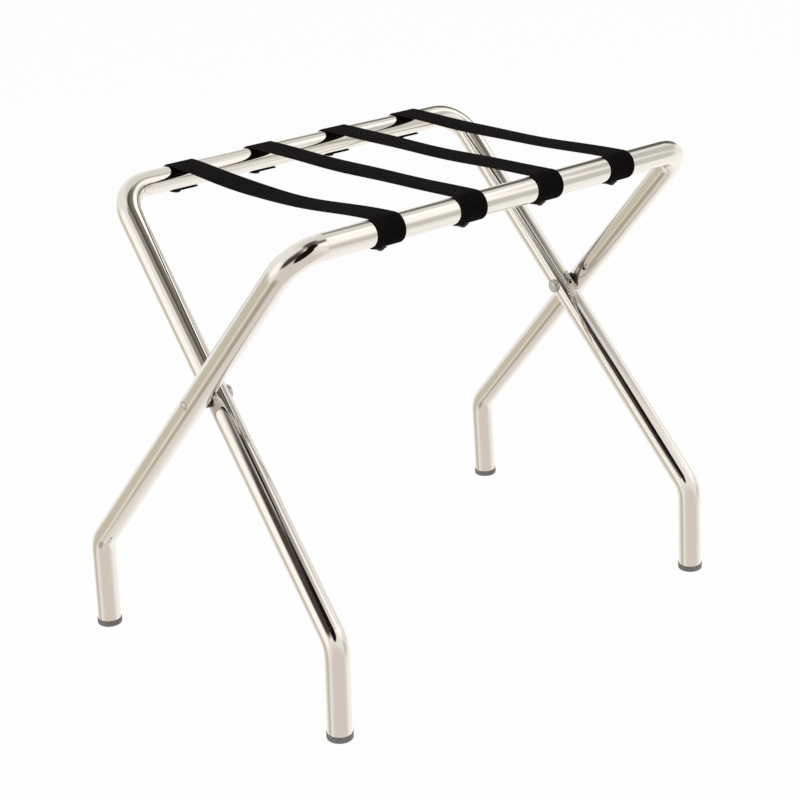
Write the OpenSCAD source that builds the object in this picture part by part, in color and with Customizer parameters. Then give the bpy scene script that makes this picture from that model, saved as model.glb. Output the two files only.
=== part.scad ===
// Folding luggage rack: two nested U frames of bent tube that cross at a pair of
// rivets, four webbing straps over the rails, and a plug foot in each tube end.
// X runs along the rails, Y from the near rail to the far one, Z is up.

/* [Frames] */
// Width of the outer frame at its rail, between the leg centre lines carried up to it
outer_w = 517; // [470:1:580]
// Height of the rail centre lines above the floor
rail_z = 478; // [430:1:520]
// Distance of each rail's centre line from the middle
rail_y = 160; // [135:1:185]
// Distance of each foot's centre line from the middle
foot_y = 182; // [155:1:210]
// Height at which the slanted leg would meet the upright foot, if the knee were sharp
knee_z = 99; // [75:1:125]
// Centre-line radius of the bends between rail and legs
bend_r = 34; // [30:1:60]
// Centre-line radius of the knees above the feet
knee_r = 32; // [26:1:50]
// Degrees by which the legs lean outward, in the plane of their frame
splay = 2.4; // [0:0.1:3.5]

/* [Tube] */
// Outside diameter of the tube
tube_d = 25.4; // [22:0.1:28]
// Wall of the tube
tube_wall = 1.2; // [0.9:0.1:2]

/* [Pivots] */
// Gap between an outer leg and the inner leg beside it
leg_gap = 2.2; // [1.5:0.1:5]
// Diameter of the rivet's shank
rivet_d = 6.3; // [5:0.1:7]
// Diameter of the made head, outside the outer leg
made_head_d = 10; // [9.5:0.5:13]
// Height of the made head above the tube
made_head_h = 1.6; // [1.2:0.1:2.6]
// Diameter of the formed head, inside the inner leg
formed_head_d = 11; // [9:0.5:12]
// Height of the formed head
formed_head_h = 2.2; // [1.4:0.1:3]
// Diameter of the spacer between the legs
spacer_d = 18; // [15:0.5:20]
// Diameter of the washer under the formed head
washer_d = 15; // [13:0.5:18]
// Thickness of that washer over the crown of the tube
washer_t = 1.2; // [0.8:0.1:2]
// Play between a rivet and the holes it passes
shank_play = 0.05; // [0.02:0.01:0.1]
// Play between faces that turn on each other at a pivot
face_play = 0.2; // [0.15:0.05:0.3]

/* [Straps] */
// Width of the webbing
strap_w = 32; // [26:1:40]
// Thickness of the webbing
strap_t = 1.6; // [1.2:0.1:2.4]
// Distance from the far rail's bends to the outermost straps
strap_inset = 29; // [6:1:40]
// Dip of the first strap, counted from -X, at mid span
sag_1 = 8; // [1:0.5:24]
// Dip of the second strap
sag_2 = 1.5; // [1:0.5:24]
// Dip of the third strap
sag_3 = 1.5; // [1:0.5:24]
// Dip of the fourth strap
sag_4 = 3; // [1:0.5:24]
// Angle round a rail, from its top over its outer side, at which a strap ends
strap_end_a = 196; // [190:1:215]
// Gap between a strap and the rail it lies on
strap_gap = 0.3; // [0.2:0.05:0.5]

/* [Strap screws] */
// Angle round a rail, from its top over its outer side, of the screws
screw_a = 165; // [150:1:172]
// Distance of a screw from its strap's centre line, along the rail
screw_x = -7; // [-8:1:8]
// Diameter of the screw's shank
screw_d = 4; // [3:0.1:5]
// Length of the shank from the head's underside
screw_len = 12; // [8:0.5:16]
// Diameter of the screw's head
screw_head_d = 8; // [7:0.5:10]
// Height of the screw's head
screw_head_h = 2.2; // [1.6:0.1:3]
// Diameter of the curved washer that clamps the strap
clamp_d = 11; // [10:0.5:12]
// Thickness of that washer over its crown
clamp_t = 1; // [0.8:0.1:1.4]
// Play between a screw's shank and what it passes
screw_play = 0.05; // [0.02:0.01:0.1]

/* [Feet] */
// Height of the foot below the tube
foot_h = 6.5; // [4:0.5:9]
// How far the foot stands out round the tube
foot_lip = 0.5; // [0.2:0.1:1]
// Rounding of the foot's lower edge
foot_round = 2; // [1:0.25:3]
// Length of the plug inside the tube
plug_len = 20; // [14:1:30]
// Wall of the plug
plug_wall = 2; // [1.5:0.1:3]
// Number of ribs round the plug
rib_n = 4; // [2:1:6]
// Height of each rib over the plug's body
rib_h = 0.6; // [0.4:0.1:0.8]
// Play between the ribs and the inside of the tube
rib_play = 0.05; // [0.02:0.01:0.1]

/* [Hidden] */
$fn = 48;

tube_r = tube_d / 2;
bore_d = tube_d - 2 * tube_wall;
outer_half = outer_w / 2;
inner_half = outer_half - tube_d / cos(splay) - leg_gap;

// Side view of a leg: its lean from the vertical, and its straight part
lean = atan2(rail_y + foot_y, rail_z - knee_z);
bend_cut = bend_r * tan(45 - splay / 2);
knee_cut = knee_r * tan(lean / 2);
leg_rod_len = norm([rail_y + foot_y, rail_z - knee_z]) / cos(splay) - bend_cut - knee_cut;
pivot_z = rail_z - rail_y / tan(lean);
pivot_out = tan(splay) * rail_y / sin(lean);

// A foot tilts outward a little with its leg, and its pad is cut level on the floor
foot_tilt = acos(sin(lean) * sin(lean) + cos(lean) * cos(lean) * cos(splay));
foot_reach = knee_z / cos(foot_tilt);
foot_sink = (tube_r + foot_lip) * tan(foot_tilt);

// Bends and upright feet are drawn down a hair and lap into the straights, to join cleanly
joint_draw = 0.12;
joint_lap = 0.6;

// Along X from the outer leg's crown to the rivet's formed head
crown_x = outer_half + pivot_out + tube_r / cos(splay);
inner_crown_x = inner_half + pivot_out + tube_r / cos(splay);
spacer_face_x = inner_crown_x + spacer_d / 2 * tan(splay) + face_play;
washer_face_x = inner_crown_x - tube_d / cos(splay) - washer_t;
formed_head_x = washer_face_x - face_play;

// Radii of the strap round a rail
strap_in_r = tube_r + strap_gap;
strap_out_r = strap_in_r + strap_t;
strap_pitch = (inner_half - bend_cut - strap_inset - strap_w / 2) / 1.5;
strap_x = [for (i = [-1.5:1:1.5]) i * strap_pitch];
clamp_face_r = strap_out_r + clamp_t;
arc_steps = 26;
span_steps = 24;

// How far a round plate of diameter d must reach to seat on a tube of radius r
function seat_depth(d, r) = r - sqrt(r * r - d * d / 4);

// The same on a leg, which leans past the plate
function leg_seat_depth(d) = seat_depth(d, tube_r) + d / 2 * tan(splay);

// A point round a rail; side is -1 for the near rail and 1 for the far one
function rail_point(side, r, a) = [side * (rail_y + r * sin(a)), rail_z + r * cos(a)];

// The arc of a strap on one rail, from its top to its end
function rail_arc(side, r) = [
    for (i = [0:arc_steps]) rail_point(side, r, strap_end_a * i / arc_steps)
];

// The hanging span between the rail tops, near to far
function span(r, sag) = [
    for (i = [1:span_steps - 1])
        let (s = i / span_steps)
        [rail_y * (2 * s - 1), rail_z + r - sag * pow(sin(180 * s), 1.5)]
];

function reversed(points) = [for (i = [len(points) - 1:-1:0]) points[i]];

// One edge of the strap's side view, from its near end to its far end
function strap_edge(r, sag) = concat(reversed(rail_arc(-1, r)), span(r, sag), rail_arc(1, r));

module both_sides() {
    for (side = [0, 1]) mirror([side, 0, 0]) children();
}

// Puts what is drawn for the near rail's frame, or mirrored for the far rail's
module facing(side) {
    mirror([0, side > 0 ? 1 : 0, 0]) children();
}

// Bend of a knee round the X axis: a ring cut by the leg's end plane and the foot's
module knee(d) {
    reach = knee_r + d;
    intersection() {
        rotate([0, 90, 0]) rotate_extrude() translate([knee_r, 0]) circle(d = d);
        translate([-d, 0, -reach]) cube([2 * d, reach, reach]);
        rotate([-lean, 0, 0]) translate([-d, 0, 0]) cube([2 * d, reach, reach]);
    }
}

// Bend between rail and leg, round the Y axis, cut a lap beyond its two ends
module top_bend(d) {
    reach = bend_r + d;
    intersection() {
        rotate([90, 0, 0]) rotate_extrude() translate([bend_r, 0]) circle(d = d - joint_draw);
        translate([-reach, -d, -joint_lap]) cube([2 * reach, 2 * d, reach + joint_lap]);
        rotate([0, splay, 0]) translate([-joint_lap, -d, -reach])
            cube([reach + joint_lap, 2 * d, 2 * reach]);
    }
}

// Puts its children at the middle of the right bend of the near rail's frame, leg along -Z
module at_bend(half) {
    translate([0, -rail_y, rail_z]) rotate([lean, 0, 0])
        translate([half - bend_cut, 0, -bend_r]) rotate([0, -splay, 0]) children();
}

// Puts its children where the foot below that leg meets the floor, with the foot along Z
module at_floor(half) {
    at_bend(half) translate([bend_r, 0, -leg_rod_len]) translate([0, -knee_r, 0])
        rotate([-lean, 0, 0]) translate([0, knee_r, knee_cut - foot_reach]) children();
}

// Leg, knee and upright foot of diameter d, hung on z = 0 in the plane of the frame
module leg_rod(d, floor_z) {
    foot_len = foot_reach - knee_cut - floor_z;
    translate([0, 0, -leg_rod_len]) {
        cylinder(d = d, h = leg_rod_len);
        translate([0, -knee_r, 0]) {
            knee(d);
            rotate([-lean, 0, 0]) translate([0, knee_r, -foot_len])
                cylinder(d = d - joint_draw, h = foot_len + joint_lap);
        }
    }
}

// Solid rod of diameter d along a U frame's centre line; its rail is the near one
module frame_rod(half, d, floor_z) {
    translate([bend_cut - half, -rail_y, rail_z]) rotate([0, 90, 0])
        cylinder(d = d, h = 2 * (half - bend_cut));
    both_sides() at_bend(half) {
        top_bend(d);
        translate([bend_r, 0, 0]) leg_rod(d, floor_z);
    }
}

// The straight part of both legs, to cut seats that hug the tube
module leg_rods(half) {
    both_sides() at_bend(half) translate([bend_r, 0, -leg_rod_len])
        cylinder(d = tube_d, h = leg_rod_len);
}

// Holds its children on a radius of a rail, at the screws' angle, for every strap
module at_screws(side) {
    for (x = strap_x)
        translate([x + screw_x, side * rail_y, rail_z]) rotate([-side * screw_a, 0, 0])
            children();
}

module bent_frame(half, side) {
    difference() {
        facing(side) frame_rod(half, tube_d, foot_h);
        facing(side) frame_rod(half, bore_d, foot_h - 1);
        translate([-crown_x, 0, pivot_z]) rotate([0, 90, 0])
            cylinder(d = rivet_d + 2 * shank_play, h = 2 * crown_x);
        at_screws(side) cylinder(d = screw_d + 2 * screw_play, h = tube_d);
    }
}

// Low dome of a rivet or screw head, standing on z = 0
module dome(d, h) {
    ball_r = (d * d / 4 + h * h) / (2 * h);
    rotate_extrude() intersection() {
        translate([0, h - ball_r]) circle(r = ball_r);
        square([d / 2, h]);
    }
}

// Lays its children along +X at the right pivot, with z = 0 at the middle of the rack
module at_pivot() {
    translate([0, 0, pivot_z]) rotate([0, 90, 0]) children();
}

module pivot_rivet() {
    seat = leg_seat_depth(made_head_d);
    difference() {
        at_pivot() {
            translate([0, 0, crown_x]) dome(made_head_d, made_head_h);
            translate([0, 0, crown_x - seat]) cylinder(d = made_head_d, h = seat);
        }
        leg_rods(outer_half);
    }
    at_pivot() {
        translate([0, 0, formed_head_x])
            cylinder(d = rivet_d, h = crown_x + made_head_h / 3 - formed_head_x);
        translate([0, 0, formed_head_x]) mirror([0, 0, 1]) dome(formed_head_d, formed_head_h);
    }
}

module pivot_spacer() {
    seat = leg_seat_depth(spacer_d);
    difference() {
        at_pivot() translate([0, 0, spacer_face_x])
            cylinder(d = spacer_d, h = crown_x - tube_d / cos(splay) + seat - spacer_face_x);
        leg_rods(outer_half);
        at_pivot() cylinder(d = rivet_d + 4 * shank_play, h = crown_x);
    }
}

module pivot_washer() {
    seat = leg_seat_depth(washer_d);
    difference() {
        at_pivot() translate([0, 0, washer_face_x]) cylinder(d = washer_d, h = washer_t + seat);
        facing(1) leg_rods(inner_half);
        at_pivot() cylinder(d = rivet_d + 4 * shank_play, h = crown_x);
    }
}

module strap(index, sag) {
    difference() {
        translate([strap_x[index] - strap_w / 2, 0, 0]) rotate([90, 0, 90])
            linear_extrude(height = strap_w)
                polygon(concat(strap_edge(strap_out_r, sag), reversed(strap_edge(strap_in_r, sag))));
        for (side = [-1, 1]) at_screws(side)
            cylinder(d = screw_d + 2 * strap_gap, h = strap_out_r + strap_t);
    }
}

module strap_screws(side) {
    at_screws(side) {
        translate([0, 0, clamp_face_r - screw_len]) cylinder(d = screw_d, h = screw_len);
        translate([0, 0, clamp_face_r]) dome(screw_head_d, screw_head_h);
    }
}

// The far washers clamp a strap of the other frame's, so they keep the strap's gap
module strap_washers(side) {
    gap = side > 0 ? strap_gap : 0;
    seat = seat_depth(clamp_d, strap_out_r);
    difference() {
        at_screws(side) translate([0, 0, strap_out_r - seat]) cylinder(d = clamp_d, h = clamp_t + seat);
        translate([-outer_half, side * rail_y, rail_z]) rotate([0, 90, 0])
            cylinder(r = strap_out_r + gap, h = outer_w);
        at_screws(side) cylinder(d = screw_d + 2 * screw_play, h = 2 * strap_out_r);
    }
}

// Plug foot: a rounded pad below the tube, and a hollow ribbed plug inside it
module plug_foot() {
    pad_r = tube_r + foot_lip;
    edge_z = foot_round - foot_sink;
    plug_d = bore_d - joint_draw - 2 * (rib_play + rib_h);
    rib_step = (plug_len - rib_h) / rib_n;
    rotate_extrude() difference() {
        union() {
            translate([0, edge_z]) square([pad_r, foot_h - edge_z]);
            translate([0, -foot_sink]) square([pad_r - foot_round, foot_round]);
            intersection() {
                translate([pad_r - foot_round, edge_z]) circle(r = foot_round);
                translate([pad_r - foot_round, -foot_sink]) square(foot_round);
            }
            translate([0, foot_h]) square([plug_d / 2, plug_len]);
            for (i = [1:rib_n])
                translate([plug_d / 2, foot_h + i * rib_step - rib_h])
                    polygon([[0, -rib_h], [rib_h, 0], [rib_h, rib_h], [0, rib_h]]);
        }
        translate([0, foot_h - plug_wall]) square([plug_d / 2 - plug_wall, plug_len + 2 * plug_wall]);
    }
}

// The foot of the right leg of the near rail's frame, cut level on the floor
module foot(half) {
    difference() {
        at_floor(half) plug_foot();
        translate([0, 0, -foot_h]) cube([outer_w, outer_w, foot_h]);
    }
}

module outer_frame() { color("#d4d2c6") bent_frame(outer_half, -1); }
module inner_frame() { color("#c9c8c4") bent_frame(inner_half, 1); }
module pivot_rivet_left() { color("#b9b8b4") mirror([1, 0, 0]) pivot_rivet(); }
module pivot_rivet_right() { color("#b9b8b4") pivot_rivet(); }
module pivot_spacer_left() { color("#2c2522") mirror([1, 0, 0]) pivot_spacer(); }
module pivot_spacer_right() { color("#2c2522") pivot_spacer(); }
module pivot_washer_left() { color("#a9a8a4") mirror([1, 0, 0]) pivot_washer(); }
module pivot_washer_right() { color("#a9a8a4") pivot_washer(); }
module strap_1() { color("#161416") strap(0, sag_1); }
module strap_2() { color("#161416") strap(1, sag_2); }
module strap_3() { color("#161416") strap(2, sag_3); }
module strap_4() { color("#161416") strap(3, sag_4); }
module strap_screws_near() { color("#3c3a3a") strap_screws(-1); }
module strap_screws_far() { color("#3c3a3a") strap_screws(1); }
module strap_washers_near() { color("#4c4a4a") strap_washers(-1); }
module strap_washers_far() { color("#4c4a4a") strap_washers(1); }
module foot_near_left() { color("#5d5a5a") mirror([1, 0, 0]) facing(1) foot(inner_half); }
module foot_near_right() { color("#5d5a5a") facing(1) foot(inner_half); }
module foot_far_left() { color("#5d5a5a") mirror([1, 0, 0]) foot(outer_half); }
module foot_far_right() { color("#5d5a5a") foot(outer_half); }

outer_frame();
inner_frame();
pivot_rivet_left();
pivot_rivet_right();
pivot_spacer_left();
pivot_spacer_right();
pivot_washer_left();
pivot_washer_right();
strap_1();
strap_2();
strap_3();
strap_4();
strap_screws_near();
strap_screws_far();
strap_washers_near();
strap_washers_far();
foot_near_left();
foot_near_right();
foot_far_left();
foot_far_right();
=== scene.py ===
# Folding luggage rack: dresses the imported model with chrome, webbing, rubber and plated steel
import math

import bmesh
import bpy
from mathutils import Matrix, Vector


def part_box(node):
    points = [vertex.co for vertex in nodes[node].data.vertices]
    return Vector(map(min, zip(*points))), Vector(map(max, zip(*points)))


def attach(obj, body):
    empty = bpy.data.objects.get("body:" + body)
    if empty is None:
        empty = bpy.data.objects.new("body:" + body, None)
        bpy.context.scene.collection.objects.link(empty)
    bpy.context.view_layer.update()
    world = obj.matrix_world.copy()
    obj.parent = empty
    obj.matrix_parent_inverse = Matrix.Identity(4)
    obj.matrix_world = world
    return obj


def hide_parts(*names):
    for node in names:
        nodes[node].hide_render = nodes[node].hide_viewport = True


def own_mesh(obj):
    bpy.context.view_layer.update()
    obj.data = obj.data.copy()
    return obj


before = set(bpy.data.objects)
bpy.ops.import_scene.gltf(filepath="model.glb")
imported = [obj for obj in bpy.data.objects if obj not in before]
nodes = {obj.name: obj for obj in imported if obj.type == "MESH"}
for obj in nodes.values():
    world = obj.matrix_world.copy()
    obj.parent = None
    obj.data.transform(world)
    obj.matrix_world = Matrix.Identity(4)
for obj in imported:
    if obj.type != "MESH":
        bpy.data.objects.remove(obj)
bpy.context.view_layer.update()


print("frame loaded:", len(nodes), "nodes")


# Camera: where the photograph was taken from
cameraView = {
    "place": (-1.179529, -1.391761, 0.927034),   # metres
    "azimuth": -40.0987,                         # degrees round the rack from the front
    "elevation": 20.9828,
    "roll": -2.6318,
    "lens": 82.071,                              # millimetres
    "sensor": 36.0,
    "clip": (0.05, 60.0),                        # nearest and furthest, in metres
}


def makeCamera(view):
    azimuth, elevation, roll = (math.radians(view[key]) for key in ("azimuth", "elevation", "roll"))
    back = Vector((math.sin(azimuth) * math.cos(elevation),
                   -math.cos(azimuth) * math.cos(elevation), math.sin(elevation)))
    right = Vector((0, 0, 1)).cross(back).normalized()
    up = back.cross(right)
    rightRolled = right * math.cos(roll) + up * math.sin(roll)
    upRolled = up * math.cos(roll) - right * math.sin(roll)
    data = bpy.data.cameras.new("photoCamera")
    data.lens = view["lens"]
    data.sensor_width = view["sensor"]
    data.clip_start, data.clip_end = view["clip"]
    camera = bpy.data.objects.new("photoCamera", data)
    turned = Matrix((rightRolled, upRolled, back)).transposed()
    camera.matrix_world = Matrix.Translation(view["place"]) @ turned.to_4x4()
    bpy.context.scene.collection.objects.link(camera)
    bpy.context.scene.camera = camera


makeCamera(cameraView)
print("camera placed")


# Small helpers for node trees
def newTree(name):
    material = bpy.data.materials.new(name)
    material.use_nodes = True
    material.node_tree.nodes.clear()
    return material, material.node_tree


def addNode(tree, kind, label=None, **values):
    made = tree.nodes.new(kind)
    if label:
        made.label = label
    for key, value in values.items():
        setattr(made, key, value)
    return made


# Links another node's output to a socket, or sets the socket to a number, vector or colour
def feed(tree, node, sockets):
    for key, value in sockets.items():
        socket = node.inputs[key]
        if isinstance(value, bpy.types.NodeSocket):
            tree.links.new(value, socket)
        elif socket.type == "RGBA":
            socket.default_value = (*value, 1)
        else:
            socket.default_value = value
    return node


def mathNode(tree, operation, *values, clamp=False):
    made = addNode(tree, "ShaderNodeMath", operation=operation, use_clamp=clamp)
    return feed(tree, made, dict(enumerate(values))).outputs[0]


# The Mix node's sockets 6 and 7 and its output 2 are the ones for colours
def mixColour(tree, factor, first, second):
    made = addNode(tree, "ShaderNodeMix", data_type="RGBA")
    return feed(tree, made, {"Factor": factor, 6: first, 7: second}).outputs[2]


def rangeNode(tree, value, fromRange, toRange=(0, 1), smooth=False):
    made = addNode(tree, "ShaderNodeMapRange", interpolation_type="SMOOTHSTEP" if smooth else "LINEAR")
    return feed(tree, made, dict(enumerate((value, *fromRange, *toRange)))).outputs[0]


# The bump is a depth in metres and a strength
def bumpNode(tree, height, bump, **values):
    depth, strength = bump
    made = addNode(tree, "ShaderNodeBump", **values)
    return feed(tree, made, {"Height": height, "Distance": depth, "Strength": strength})


# Inputs are named with their first values, None for a vector; outputs are all numbers
def newGroup(name, inputs, outputs):
    group = bpy.data.node_groups.new(name, "ShaderNodeTree")
    for label, value in inputs.items():
        kind = "NodeSocketVector" if value is None else "NodeSocketFloat"
        socket = group.interface.new_socket(name=label, in_out="INPUT", socket_type=kind)
        if value is not None:
            socket.default_value = value
    for label in outputs:
        group.interface.new_socket(name=label, in_out="OUTPUT", socket_type="NodeSocketFloat")
    return group, addNode(group, "NodeGroupInput").outputs, addNode(group, "NodeGroupOutput")


def useGroup(tree, group, sockets):
    return feed(tree, addNode(tree, "ShaderNodeGroup", node_tree=group), sockets).outputs


def finishSurface(tree, sockets):
    shader = feed(tree, addNode(tree, "ShaderNodeBsdfPrincipled"), sockets)
    endMaterial(tree, shader.outputs[0])


def endMaterial(tree, shader):
    feed(tree, addNode(tree, "ShaderNodeOutputMaterial"), {"Surface": shader})


# Speckles: a noise on coordinates in metres, and the mask it makes between Low and High
def makeSpeckleGroup():
    group, source, sink = newGroup(
        "speckles", {"Vector": None, "Scale": 60.0, "Detail": 4.0, "Low": 0.45, "High": 0.65},
        ("Mask", "Height"))
    noise = addNode(group, "ShaderNodeTexNoise")
    feed(group, noise, {key: source[key] for key in ("Vector", "Scale", "Detail")})
    height = noise.outputs["Fac"]
    mask = rangeNode(group, height, (source["Low"], source["High"]), smooth=True)
    feed(group, sink, {"Mask": mask, "Height": height})
    return group


# Hairline scratches: the edges of warped cells, kept in patches
scratchShape = {
    "warp": {"Scale": 14.0, "Detail": 2.0},
    "warpReach": 0.06,               # metres that the lines wander
    "lineWidth": 0.018,              # in cells
    "patchScale": 33.0,
}


def makeScratchGroup(shape):
    group, source, sink = newGroup(
        "hairlines", {"Vector": None, "Scale": 90.0, "Share": 0.3}, ("Mask",))
    place = source["Vector"]
    warp = feed(group, addNode(group, "ShaderNodeTexNoise"), {"Vector": place, **shape["warp"]})
    bent = addNode(group, "ShaderNodeVectorMath", operation="MULTIPLY_ADD")
    feed(group, bent, {0: warp.outputs["Color"], 1: [shape["warpReach"]] * 3, 2: place})
    cells = addNode(group, "ShaderNodeTexVoronoi", feature="DISTANCE_TO_EDGE")
    feed(group, cells, {"Vector": bent.outputs[0], "Scale": source["Scale"]})
    line = rangeNode(group, cells.outputs["Distance"], (0, shape["lineWidth"]), (1, 0))
    patches = addNode(group, "ShaderNodeTexNoise")
    feed(group, patches, {"Vector": place, "Scale": shape["patchScale"]})
    kept = mathNode(group, "LESS_THAN", patches.outputs["Fac"], source["Share"])
    feed(group, sink, {"Mask": mathNode(group, "MULTIPLY", line, kept)})
    return group


speckles = makeSpeckleGroup()
hairlines = makeScratchGroup(scratchShape)


# Bright plate on bent tube
chromeLook = {
    "colour": (0.66, 0.645, 0.605),
    "handled": {"Scale": 17.0, "Detail": 5.0, "Low": 0.46, "High": 0.7},
    "dust": {"Scale": 420.0, "Detail": 2.0, "Low": 0.62, "High": 0.74},
    "waves": {"Scale": 7.0, "Detail": 1.0},
    "scratches": {"Scale": 75.0, "Share": 0.42},
    "dustColour": (0.52, 0.50, 0.46),
    "dustShare": 0.35,
    "roughness": (0.045, 0.12),      # clean plate, and where it is handled
    "scratchRoughness": 0.22,
    "dustRoughness": 0.12,
    "waveBump": (0.0011, 0.35),      # metres deep, and how strongly
    "scratchBump": (0.00002, 0.12),
}


def makePlateMaterial(name, look):
    material, tree = newTree(name)
    place = addNode(tree, "ShaderNodeTexCoord").outputs["Object"]
    handled, dust, waves = (useGroup(tree, speckles, {"Vector": place, **look[key]})
                            for key in ("handled", "dust", "waves"))
    scratches = useGroup(tree, hairlines, {"Vector": place, **look["scratches"]})
    cover = mathNode(tree, "MULTIPLY", dust["Mask"], look["dustShare"])
    rough = rangeNode(tree, handled["Mask"], (0, 1), look["roughness"])
    rough = mathNode(tree, "MULTIPLY_ADD", scratches["Mask"], look["scratchRoughness"], rough)
    rough = mathNode(tree, "MULTIPLY_ADD", dust["Mask"], look["dustRoughness"], rough, clamp=True)
    wide = bumpNode(tree, waves["Height"], look["waveBump"])
    fine = bumpNode(tree, scratches["Mask"], look["scratchBump"], invert=True)
    feed(tree, fine, {"Normal": wide.outputs[0]})
    finishSurface(tree, {
        "Base Color": mixColour(tree, cover, look["colour"], look["dustColour"]),
        "Metallic": 1.0, "Roughness": rough, "Normal": fine.outputs[0]})
    return material


# Plated or blackened steel of the small fasteners, stained in spots and finely scratched
steelLooks = {
    "rivetSteel": {"colour": (0.50, 0.49, 0.47), "roughness": 0.24, "stain": (0.22, 0.19, 0.16)},
    "washerSteel": {"colour": (0.46, 0.45, 0.43), "roughness": 0.3, "stain": (0.2, 0.17, 0.14)},
    "blackSteel": {"colour": (0.035, 0.034, 0.035), "roughness": 0.36, "stain": (0.09, 0.075, 0.06)},
}
steelGrain = {
    "stains": {"Scale": 260.0, "Detail": 4.0, "Low": 0.5, "High": 0.72},
    "scratches": {"Scale": 500.0, "Share": 0.5},
    "stainShare": 0.55,
    "stainRoughness": 0.22,
    "scratchRoughness": 0.15,
    "bump": (0.00005, 0.4),
}


def makeSteelMaterial(name, look, grain):
    material, tree = newTree(name)
    place = addNode(tree, "ShaderNodeTexCoord").outputs["Object"]
    stains = useGroup(tree, speckles, {"Vector": place, **grain["stains"]})
    scratches = useGroup(tree, hairlines, {"Vector": place, **grain["scratches"]})
    cover = mathNode(tree, "MULTIPLY", stains["Mask"], grain["stainShare"])
    rough = mathNode(tree, "MULTIPLY_ADD", stains["Mask"], grain["stainRoughness"], look["roughness"])
    rough = mathNode(tree, "MULTIPLY_ADD", scratches["Mask"], grain["scratchRoughness"], rough, clamp=True)
    bump = bumpNode(tree, stains["Height"], grain["bump"])
    finishSurface(tree, {
        "Base Color": mixColour(tree, cover, look["colour"], look["stain"]),
        "Metallic": 1.0, "Roughness": rough, "Normal": bump.outputs[0]})
    return material


# Moulded plastic and rubber of the spacers and feet; scuffs reach scuffTop metres above the floor
mouldedLooks = {
    "spacerNylon": {"colour": (0.030, 0.020, 0.016), "worn": (0.075, 0.055, 0.045),
                    "roughness": 0.42, "bump": (0.00006, 0.6), "scuffTop": None},
    "footRubber": {"colour": (0.165, 0.155, 0.152), "worn": (0.30, 0.28, 0.265),
                   "roughness": 0.66, "bump": (0.00012, 0.6), "scuffTop": 0.0035},
}
mouldedGrain = {
    "mottle": {"Scale": 190.0, "Detail": 5.0, "Low": 0.4, "High": 0.75},
    "pores": {"Scale": 1500.0, "Detail": 2.0},
    "mottleWear": 0.5,
    "scuffWear": 0.55,
    "wearRoughness": 0.2,
}


def makeMouldedMaterial(name, look, grain):
    material, tree = newTree(name)
    place = addNode(tree, "ShaderNodeTexCoord").outputs["Object"]
    mottle = useGroup(tree, speckles, {"Vector": place, **grain["mottle"]})
    pores = useGroup(tree, speckles, {"Vector": place, **grain["pores"]})
    wear = mathNode(tree, "MULTIPLY", mottle["Mask"], grain["mottleWear"])
    if look["scuffTop"]:
        height = feed(tree, addNode(tree, "ShaderNodeSeparateXYZ"), {0: place}).outputs["Z"]
        scuff = rangeNode(tree, height, (0, look["scuffTop"]), (1, 0))
        wear = mathNode(tree, "MULTIPLY_ADD", scuff, grain["scuffWear"], wear, clamp=True)
    rough = mathNode(tree, "MULTIPLY_ADD", wear, grain["wearRoughness"], look["roughness"], clamp=True)
    bump = bumpNode(tree, pores["Height"], look["bump"])
    finishSurface(tree, {
        "Base Color": mixColour(tree, wear, look["colour"], look["worn"]),
        "Roughness": rough, "Normal": bump.outputs[0]})
    return material


# Black webbing, woven on the strap's own UV map in metres: U across, V along
webbingLook = {
    "colour": (0.0020, 0.0017, 0.0018),
    "crestHighlightColour": (0.0060, 0.0048, 0.0050),
    "fuzzColour": (0.014, 0.0100, 0.0095),
    "edgeSheenColour": (0.090, 0.062, 0.054),   # painted sheen: both edges of the strap painted lighter, where light would catch the yarn
    "warpPitch": 0.00165,            # metres between the lengthwise yarns
    "weftPitch": 0.00125,            # metres between the crosswise ones
    "bump": (0.00022, 0.8),
    "roughness": 0.9,
    "specular": 0.03,
    "fuzzFrom": (0.55, 0.8),         # from no fuzz to the whole of its share
    "fuzzShare": 0.6,
    "dust": {"Scale": 55.0, "Detail": 5.0, "Low": 0.5, "High": 0.8},
    "dustShare": 0.25,
    "edgeSheenReach": 0.0011,             # metres that the painted edge sheen spreads round the edge
    "edgeSheenShare": 0.6,
}
yarnShape = {
    "ribPower": 0.6,                 # below 1 makes a yarn's top flatter
    "rise": 0.6,                     # share of the height that comes and goes along a yarn
    "fuzz": {"Scale": 900.0, "Detail": 3.0},
}


def makeWeaveGroup(shape):
    group, source, sink = newGroup(
        "webbingWeave", {"UV": None, "Warp Pitch": 0.0016, "Weft Pitch": 0.0012},
        ("Height", "Yarn", "Fuzz"))
    parts = feed(group, addNode(group, "ShaderNodeSeparateXYZ"), {0: source["UV"]}).outputs
    across = mathNode(group, "DIVIDE", parts["X"], source["Warp Pitch"])
    along = mathNode(group, "DIVIDE", parts["Y"], source["Weft Pitch"])
    row = mathNode(group, "FLOOR", across)
    shifted = mathNode(group, "MULTIPLY_ADD", row, 0.5, along)    # each yarn is half a step on from the last
    rib = mathNode(group, "SINE", mathNode(group, "MULTIPLY", across, math.pi))
    rib = mathNode(group, "POWER", mathNode(group, "ABSOLUTE", rib), shape["ribPower"])
    yarn = mathNode(group, "SINE", mathNode(group, "MULTIPLY", shifted, 2 * math.pi))
    yarn = mathNode(group, "MULTIPLY_ADD", yarn, 0.5, 0.5)
    crest = mathNode(group, "MULTIPLY_ADD", yarn, shape["rise"], 1 - shape["rise"])
    fuzz = feed(group, addNode(group, "ShaderNodeTexNoise"), {"Vector": source["UV"], **shape["fuzz"]})
    feed(group, sink, {"Height": mathNode(group, "MULTIPLY", rib, crest), "Yarn": yarn,
                       "Fuzz": fuzz.outputs["Fac"]})
    return group


webbingWeave = makeWeaveGroup(yarnShape)


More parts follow.
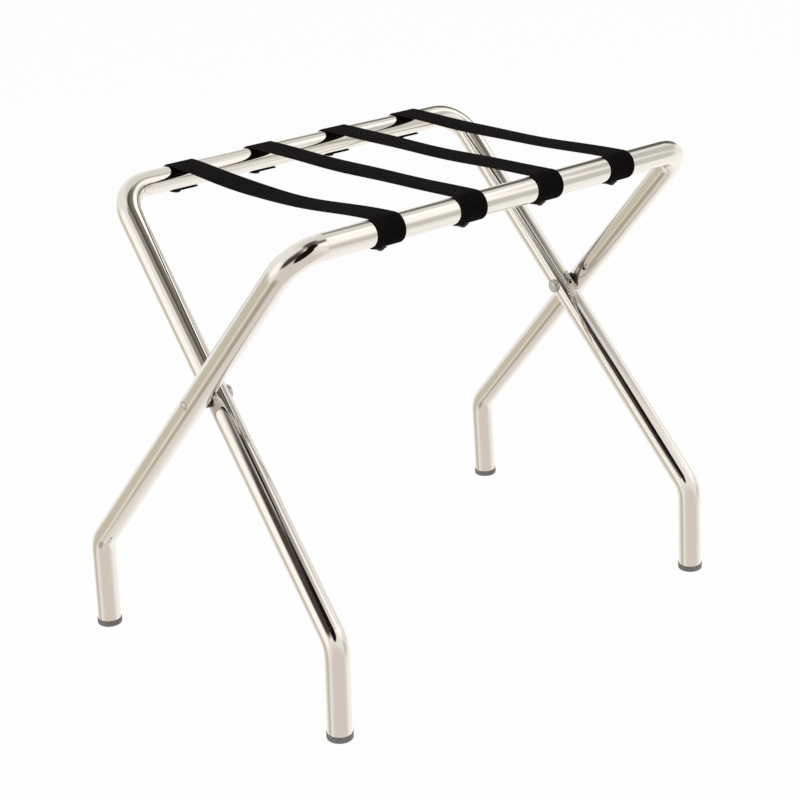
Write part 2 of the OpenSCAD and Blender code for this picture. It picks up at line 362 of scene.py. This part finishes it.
# U starts at the middle of the underside: the top's middle is half the girth on, an edge a quarter
def makeWebbingMaterial(name, look, girth):
    material, tree = newTree(name)
    uv = addNode(tree, "ShaderNodeUVMap", uv_map="weave").outputs[0]
    place = addNode(tree, "ShaderNodeTexCoord").outputs["Object"]
    weave = useGroup(tree, webbingWeave, {
        "UV": uv, "Warp Pitch": look["warpPitch"], "Weft Pitch": look["weftPitch"]})
    dust = useGroup(tree, speckles, {"Vector": place, **look["dust"]})
    # Painted shade and highlight: the weave's crests take a lighter colour and the grooves between the yarns
    # stay darker
    shade = mixColour(tree, weave["Height"], look["colour"], look["crestHighlightColour"])
    fuzz = rangeNode(tree, weave["Fuzz"], look["fuzzFrom"], (0, look["fuzzShare"]))
    shade = mixColour(tree, fuzz, shade, look["fuzzColour"])
    cover = mathNode(tree, "MULTIPLY", dust["Mask"], look["dustShare"])
    shade = mixColour(tree, cover, shade, look["fuzzColour"])
    walked = feed(tree, addNode(tree, "ShaderNodeSeparateXYZ"), {0: uv}).outputs["X"]
    # Painted sheen: a lighter colour laid along both edges of the strap, following the yarns, stands in for
    # light catching them
    fromTop = mathNode(tree, "ABSOLUTE", mathNode(tree, "SUBTRACT", walked, girth / 2))
    fromEdge = mathNode(tree, "ABSOLUTE", mathNode(tree, "SUBTRACT", fromTop, girth / 4))
    edgeSheen = rangeNode(tree, fromEdge, (0, look["edgeSheenReach"]), (look["edgeSheenShare"], 0), smooth=True)
    loops = mathNode(tree, "MULTIPLY", edgeSheen, weave["Yarn"])
    finishSurface(tree, {
        "Base Color": mixColour(tree, loops, shade, look["edgeSheenColour"]),
        "Roughness": look["roughness"],
        "Specular IOR Level": look["specular"],
        "Normal": bumpNode(tree, weave["Height"], look["bump"]).outputs[0]})
    return material


tubeChrome = makePlateMaterial("tubeChrome", chromeLook)
steels = {name: makeSteelMaterial(name, look, steelGrain) for name, look in steelLooks.items()}
moulded = {name: makeMouldedMaterial(name, look, mouldedGrain) for name, look in mouldedLooks.items()}

# Which finish a node takes, by how its name starts
finishes = {
    "outer_frame": tubeChrome,
    "inner_frame": tubeChrome,
    "pivot_rivet": steels["rivetSteel"],
    "pivot_washer": steels["washerSteel"],
    "pivot_spacer": moulded["spacerNylon"],
    "foot": moulded["footRubber"],
    "strap_screws": steels["blackSteel"],
    "strap_washers": steels["blackSteel"],
}


def dress(node, material):
    slots = node.data.materials
    if not slots:
        slots.append(material)
    for index in range(len(slots)):
        slots[index] = material


for nodeName, node in nodes.items():
    for start, finish in finishes.items():
        if nodeName.startswith(start):
            dress(node, finish)
print("plate, steel, rubber and nylon finished")


# A piece, or a part of the studio, from its bmesh
def addMesh(name, bm, material):
    mesh = bpy.data.meshes.new(name)
    bm.to_mesh(mesh)
    bm.free()
    mesh.materials.append(material)
    made = bpy.data.objects.new(name, mesh)
    bpy.context.scene.collection.objects.link(made)
    return made


# Straps: the same numbers as the model's own source, in metres
strapShape = {
    "width": 0.032,
    "thickness": 0.0016,
    "gap": 0.0003,                   # between a strap and its rail
    "dips": (0.008, 0.0015, 0.0015, 0.003),
    "dipPower": 1.5,                 # above 1 eases the dip in at the rails
    "railHeight": 0.478,
    "railOut": 0.160,
    "tubeRadius": 0.0127,
    "endAngle": 196.0,               # degrees round a rail from its top
    "ripple": 0.0005,                # how far the edges wander
    "rippleTurn": 38.0,              # radians per metre
    "rippleShift": (2.3, 1.7),       # radians from strap to strap, and from edge to edge
    "cup": 0.0006,                   # how far the edges hang below the middle
}
foldShape = {
    "pivotHeight": 0.30069,
    "angle": 76.0,                   # how far the far frame swings when the rack is shut
    "leadLength": 0.020,             # the first stretch off a rail, which gives way less than the span
    "leadGive": 0.55,
}
strapMesh = {
    "rows": {"wrap": 44, "lead": 6, "span": 40},
    "flatSteps": 16,                 # across a face
    "edgeSteps": 5,                  # round an edge
    "slopeStep": 0.002,
    "mergeDistance": 1e-7,
}
strapGirth = 2 * (strapShape["width"] - strapShape["thickness"]) + math.pi * strapShape["thickness"]
wrapRadius = strapShape["tubeRadius"] + strapShape["gap"] + strapShape["thickness"] / 2
webbing = makeWebbingMaterial("strapWebbing", webbingLook, strapGirth)


# How far along the span from its rail: 0 on the rail and beyond, 0.5 at mid span
def spanShare(length, shape):
    return max(0, (shape["railOut"] - length) / (2 * shape["railOut"]))


def dipAt(length, dip, shape):
    return dip * math.sin(math.pi * spanShare(length, shape)) ** shape["dipPower"]


# Place and outward direction of the strap's middle at a length from mid span, near half
def nearPath(length, dip, shape):
    out = shape["railOut"]
    if length <= out:
        step = strapMesh["slopeStep"]
        slope = (dipAt(length - step, dip, shape) - dipAt(length + step, dip, shape)) / (2 * step)
        top = shape["railHeight"] + wrapRadius
        return Vector((0, -length, top - dipAt(length, dip, shape))), Vector((0, slope, 1)).normalized()
    angle = (length - out) / wrapRadius
    normal = Vector((0, -math.sin(angle), math.cos(angle)))
    return Vector((0, -out, shape["railHeight"])) + normal * wrapRadius, normal


# Once round the strap's section from the middle of its underside: length walked, across, proud
def sectionWalk(shape):
    radius = shape["thickness"] / 2
    half = shape["width"] / 2 - radius
    turn = math.pi * radius
    steps, turnSteps = strapMesh["flatSteps"], strapMesh["edgeSteps"]
    walk = []
    for step in range(steps // 2):
        across = 2 * half * step / steps
        walk.append((across, across, -radius))
    for step in range(turnSteps):
        angle = math.pi * step / turnSteps
        walk.append((half + radius * angle, half + radius * math.sin(angle), -radius * math.cos(angle)))
    for step in range(steps):
        across = 2 * half * step / steps
        walk.append((half + turn + across, half - across, radius))
    for step in range(turnSteps):
        angle = math.pi * step / turnSteps
        walked = 3 * half + turn + radius * angle
        walk.append((walked, -half - radius * math.sin(angle), radius * math.cos(angle)))
    for step in range(steps // 2 + 1):
        across = 2 * half * step / steps
        walk.append((3 * half + 2 * turn + across, across - half, -radius))
    return walk


# One stretch of a strap between two lengths from mid span: a grid rolled round its section
def makeStrapPiece(name, index, side, start, end, rows):
    shape = strapShape
    low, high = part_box(f"strap_{index + 1}")
    centre = (low[0] + high[0]) / 2
    walk = sectionWalk(shape)
    bm = bmesh.new()
    uvLayer = bm.loops.layers.uv.new("weave")
    bmesh.ops.create_grid(bm, x_segments=len(walk) - 1, y_segments=rows, size=0.5)
    spots = {}
    for vertex in bm.verts:
        column = round((vertex.co.x + 0.5) * (len(walk) - 1))
        spots[vertex] = (*walk[column], start + (vertex.co.y + 0.5) * (end - start))
    for face in bm.faces:
        for loop in face.loops:
            walked, across, proud, length = spots[loop.vert]
            loop[uvLayer].uv = (walked, side * length)
    betweenStraps, betweenEdges = shape["rippleShift"]
    for vertex, (walked, across, proud, length) in spots.items():
        place, normal = nearPath(length, shape["dips"][index], shape)
        loose = math.sin(math.pi * spanShare(length, shape)) * (2 * across / shape["width"]) ** 2
        phase = betweenStraps * index + (0 if across > 0 else betweenEdges)
        wander = shape["ripple"] * math.sin(side * length * shape["rippleTurn"] + phase)
        lift = proud + loose * (wander - shape["cup"])
        vertex.co = place + normal * lift + Vector((centre + across, 0, 0))
    if side > 0:
        bmesh.ops.scale(bm, vec=(1, -1, 1), verts=bm.verts)
    bmesh.ops.remove_doubles(bm, verts=bm.verts, dist=strapMesh["mergeDistance"])
    rims = [edge for edge in bm.edges if edge.is_boundary]
    bmesh.ops.holes_fill(bm, edges=rims, sides=0)
    for face in bm.faces:
        face.smooth = True
    for edge in rims:
        edge.smooth = False
    bmesh.ops.recalc_face_normals(bm, faces=bm.faces)
    piece = addMesh(name, bm, webbing)
    return piece


# Each strap half is made as a wrap round its rail, a short lead off it and a span to mid span; the near half
# rides with the outer frame, the far half with the inner
def layStrap(index):
    shape, fold = strapShape, foldShape
    dip = shape["dips"][index]
    out = shape["railOut"]
    lead = out - fold["leadLength"]
    stretches = {"wrap": (out, out + math.radians(shape["endAngle"]) * wrapRadius),
                 "lead": (lead, out), "span": (0, lead)}
    for side, label, body in ((-1, "near", "outer"), (1, "far", "inner")):
        name = f"strap{index + 1}_{label}"
        pieces = {}
        for part, (start, end) in stretches.items():
            piece = makeStrapPiece(f"{name}_{part}", index, side, start, end, strapMesh["rows"][part])
            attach(piece, body)
            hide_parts(f"strap_{index + 1}")
            pieces[part] = piece
        leadEnd = nearPath(lead, dip, shape)[0]
        leadEnd.y *= -side
        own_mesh(pieces["lead"])
        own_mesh(pieces["span"])


for index in range(len(strapShape["dips"])):
    layStrap(index)
print("straps laid")


# Studio: pale floor, even world and three soft boxes
studio = {
    "worldLight": 0.62,
    "floorSize": 14.0,
    "floorDrop": 0.0002,             # metres under the feet
    "floorColour": (0.86, 0.86, 0.86),
    "floorGlow": 0.95,               # how much of the floor that the camera sees is plain white
}
rackMiddle = Vector((0, 0, 0.3))     # what the lamps and cards face
softboxes = {
    "frontSoftbox": {"place": (1.18, -1.41, 1.84), "size": (3.0, 1.1), "power": 17.0},
    "sideSoftbox": {"place": (-1.99, 0.93, 0.50), "size": (1.7, 1.2), "power": 10.0},
    "topSoftbox": {"place": (0.0, 0.2, 2.6), "size": (1.6, 1.6), "power": 13.0},
}

# What the plate mirrors: a base colour and patches, each laid over the ones before it. They look
# towards a heading, 0 along +Y and 90 along +X, and a height; reach and fade are in degrees too
mirroredBase = (1.17, 1.15, 1.12)
mirrored = {
    "nearFloor": {"look": (-150, -40), "reach": 50, "fade": 30, "tone": (0.96, 0.87, 0.83)},
    "paleCeiling": {"look": (60, 75), "reach": 30, "fade": 18, "tone": (1.00, 0.97, 0.93)},
    "leftWall": {"look": (-72, 8), "reach": 22, "fade": 10, "tone": (1.48, 1.44, 1.40)},
    "rightFloor": {"look": (96, -40), "reach": 30, "fade": 16, "tone": (1.32, 1.29, 1.26)},
    "frontStripRight": {"look": (110, 36), "reach": 17, "fade": 7, "tone": (1.62, 1.59, 1.57)},
    "frontStripMiddle": {"look": (140, 36), "reach": 18, "fade": 9, "tone": (1.50, 1.46, 1.43)},
    "frontStripLeft": {"look": (-172, 42), "reach": 13, "fade": 8, "tone": (1.15, 1.10, 1.07)},
    "frontLow": {"look": (134, -4), "reach": 14, "fade": 10, "tone": (0.84, 0.82, 0.76)},
    "khakiHorizon": {"look": (-30, -12), "reach": 14, "fade": 16, "tone": (0.82, 0.76, 0.64)},
    "khakiFloor": {"look": (-44, -28), "reach": 14, "fade": 16, "tone": (0.82, 0.75, 0.62)},
    "khakiNearFloor": {"look": (-82, -50), "reach": 13, "fade": 12, "tone": (0.60, 0.53, 0.41)},
    "darkCeiling": {"look": (178, 72), "reach": 19, "fade": 11, "tone": (0.13, 0.115, 0.10)},
    "darkSide": {"look": (142, 60), "reach": 13, "fade": 12, "tone": (0.26, 0.24, 0.205)},
    "darkLeft": {"look": (-127, 54), "reach": 12, "fade": 12, "tone": (0.40, 0.37, 0.33)},
    "backEdge": {"look": (60, 25), "reach": 17, "fade": 12, "tone": (0.17, 0.16, 0.14)},
}

# Cards near the rack; soft is the share of the radius over which one fades out
cards = {
    "cameraCard": {"place": (-0.97, -0.52, 0.80), "size": (0.74, 1.45), "turn": 45.0,
                   "tone": (0.085, 0.067, 0.060), "soft": 0.55},
    "figureCard": {"place": (-0.470, -0.70, 0.655), "size": (0.50, 0.80), "turn": 30.0,
                   "tone": (0.014, 0.009, 0.005), "soft": 0.25},
    "rightCard": {"place": (0.80, -0.40, 0.87), "size": (0.76, 0.76), "turn": 0.0,
                  "tone": (0.80, 0.77, 0.73), "soft": 0.6},
    "upperCard": {"place": (-0.25, -0.37, 0.695), "size": (0.18, 0.23), "turn": 30.0,
                  "tone": (0.014, 0.009, 0.005), "soft": 0.3},
}


# Kind is Background in the world and Emission on a surface
def glowNode(tree, kind, colour, strength=1.0):
    made = addNode(tree, "ShaderNode" + kind)
    return feed(tree, made, {"Color": colour, "Strength": strength}).outputs[0]


def mixShaders(tree, factor, first, second):
    return feed(tree, addNode(tree, "ShaderNodeMixShader"), {0: factor, 1: first, 2: second}).outputs[0]


def headingVector(heading, height):
    heading, height = math.radians(heading), math.radians(height)
    return (math.sin(heading) * math.cos(height), math.cos(heading) * math.cos(height), math.sin(height))


def mirroredColour(tree):
    direction = addNode(tree, "ShaderNodeTexCoord").outputs["Generated"]
    colour = mirroredBase
    for label, patch in mirrored.items():
        facing = addNode(tree, "ShaderNodeVectorMath", label, operation="DOT_PRODUCT")
        feed(tree, facing, {0: direction, 1: headingVector(*patch["look"])})
        outer = math.cos(math.radians(patch["reach"] + patch["fade"] / 2))
        inner = math.cos(math.radians(patch["reach"] - patch["fade"] / 2))
        cover = rangeNode(tree, facing.outputs["Value"], (outer, inner), smooth=True)
        colour = mixColour(tree, cover, colour, patch["tone"])
    return colour


# Even light for the surfaces, white behind them, and the mirrored patches for glossy rays alone
def makeWorld():
    world = bpy.data.worlds.new("studioWorld")
    bpy.context.scene.world = world
    world.use_nodes = True
    tree = world.node_tree
    tree.nodes.clear()
    path = addNode(tree, "ShaderNodeLightPath").outputs
    shader = glowNode(tree, "Background", (1, 1, 1), studio["worldLight"])
    white = glowNode(tree, "Background", (1, 1, 1))
    glossy = glowNode(tree, "Background", mirroredColour(tree))
    for ray, seen in (("Is Camera Ray", white), ("Is Transmission Ray", white), ("Is Glossy Ray", glossy)):
        shader = mixShaders(tree, path[ray], shader, seen)
    feed(tree, addNode(tree, "ShaderNodeOutputWorld"), {"Surface": shader})


def makeFloor():
    material, tree = newTree("floorPaper")
    path = addNode(tree, "ShaderNodeLightPath").outputs
    seen = mathNode(tree, "ADD", path["Is Camera Ray"], path["Is Transmission Ray"], clamp=True)
    paper = feed(tree, addNode(tree, "ShaderNodeBsdfDiffuse"), {"Color": studio["floorColour"]})
    glow = glowNode(tree, "Emission", (1, 1, 1))
    share = mathNode(tree, "MULTIPLY", seen, studio["floorGlow"])
    endMaterial(tree, mixShaders(tree, share, paper.outputs[0], glow))
    bm = bmesh.new()
    bmesh.ops.create_grid(bm, x_segments=1, y_segments=1, size=studio["floorSize"] / 2)
    floor = addMesh("studioFloor", bm, material)
    floor.location.z = -studio["floorDrop"]
    floor.visible_glossy = False     # the plate mirrors the patches instead


def makeSoftbox(name, box):
    data = bpy.data.lights.new(name, "AREA")
    data.shape = "RECTANGLE"
    data.size, data.size_y = box["size"]
    data.energy = box["power"]
    lamp = bpy.data.objects.new(name, data)
    lamp.location = box["place"]
    lamp.rotation_mode = "QUATERNION"
    lamp.rotation_quaternion = (rackMiddle - lamp.location).to_track_quat("-Z", "Y")
    lamp.visible_glossy = False
    bpy.context.scene.collection.objects.link(lamp)


# An oval that only glossy rays meet, facing the rack and fading out towards its edge
def makeCard(name, card):
    material, tree = newTree(name + "Paint")
    uv = addNode(tree, "ShaderNodeUVMap", uv_map="sheet").outputs[0]
    centred = addNode(tree, "ShaderNodeVectorMath", operation="MULTIPLY_ADD")
    feed(tree, centred, {0: uv, 1: (2, 2, 0), 2: (-1, -1, 0)})
    out = addNode(tree, "ShaderNodeVectorMath", operation="LENGTH")
    feed(tree, out, {0: centred.outputs[0]})
    cover = rangeNode(tree, out.outputs["Value"], (1 - card["soft"], 1), (1, 0), smooth=True)
    clear = addNode(tree, "ShaderNodeBsdfTransparent").outputs[0]
    endMaterial(tree, mixShaders(tree, cover, clear, glowNode(tree, "Emission", card["tone"])))
    place = Vector(card["place"])
    facing = (rackMiddle - place).to_track_quat("Z", "Y").to_matrix().to_4x4()
    bm = bmesh.new()
    bm.loops.layers.uv.new("sheet")
    bmesh.ops.create_grid(bm, x_segments=1, y_segments=1, size=0.5, calc_uvs=True)
    bmesh.ops.scale(bm, vec=(*card["size"], 1), verts=bm.verts)
    bmesh.ops.rotate(bm, matrix=Matrix.Rotation(math.radians(card["turn"]), 3, "Z"), verts=bm.verts)
    bmesh.ops.transform(bm, matrix=Matrix.Translation(place) @ facing, verts=bm.verts)
    board = addMesh(name, bm, material)
    board.visible_camera = False
    board.visible_diffuse = False
    board.visible_shadow = False


makeWorld()
makeFloor()
for name, box in softboxes.items():
    makeSoftbox(name, box)
for name, card in cards.items():
    makeCard(name, card)
bpy.context.scene.view_settings.view_transform = "Standard"
print("studio lit")
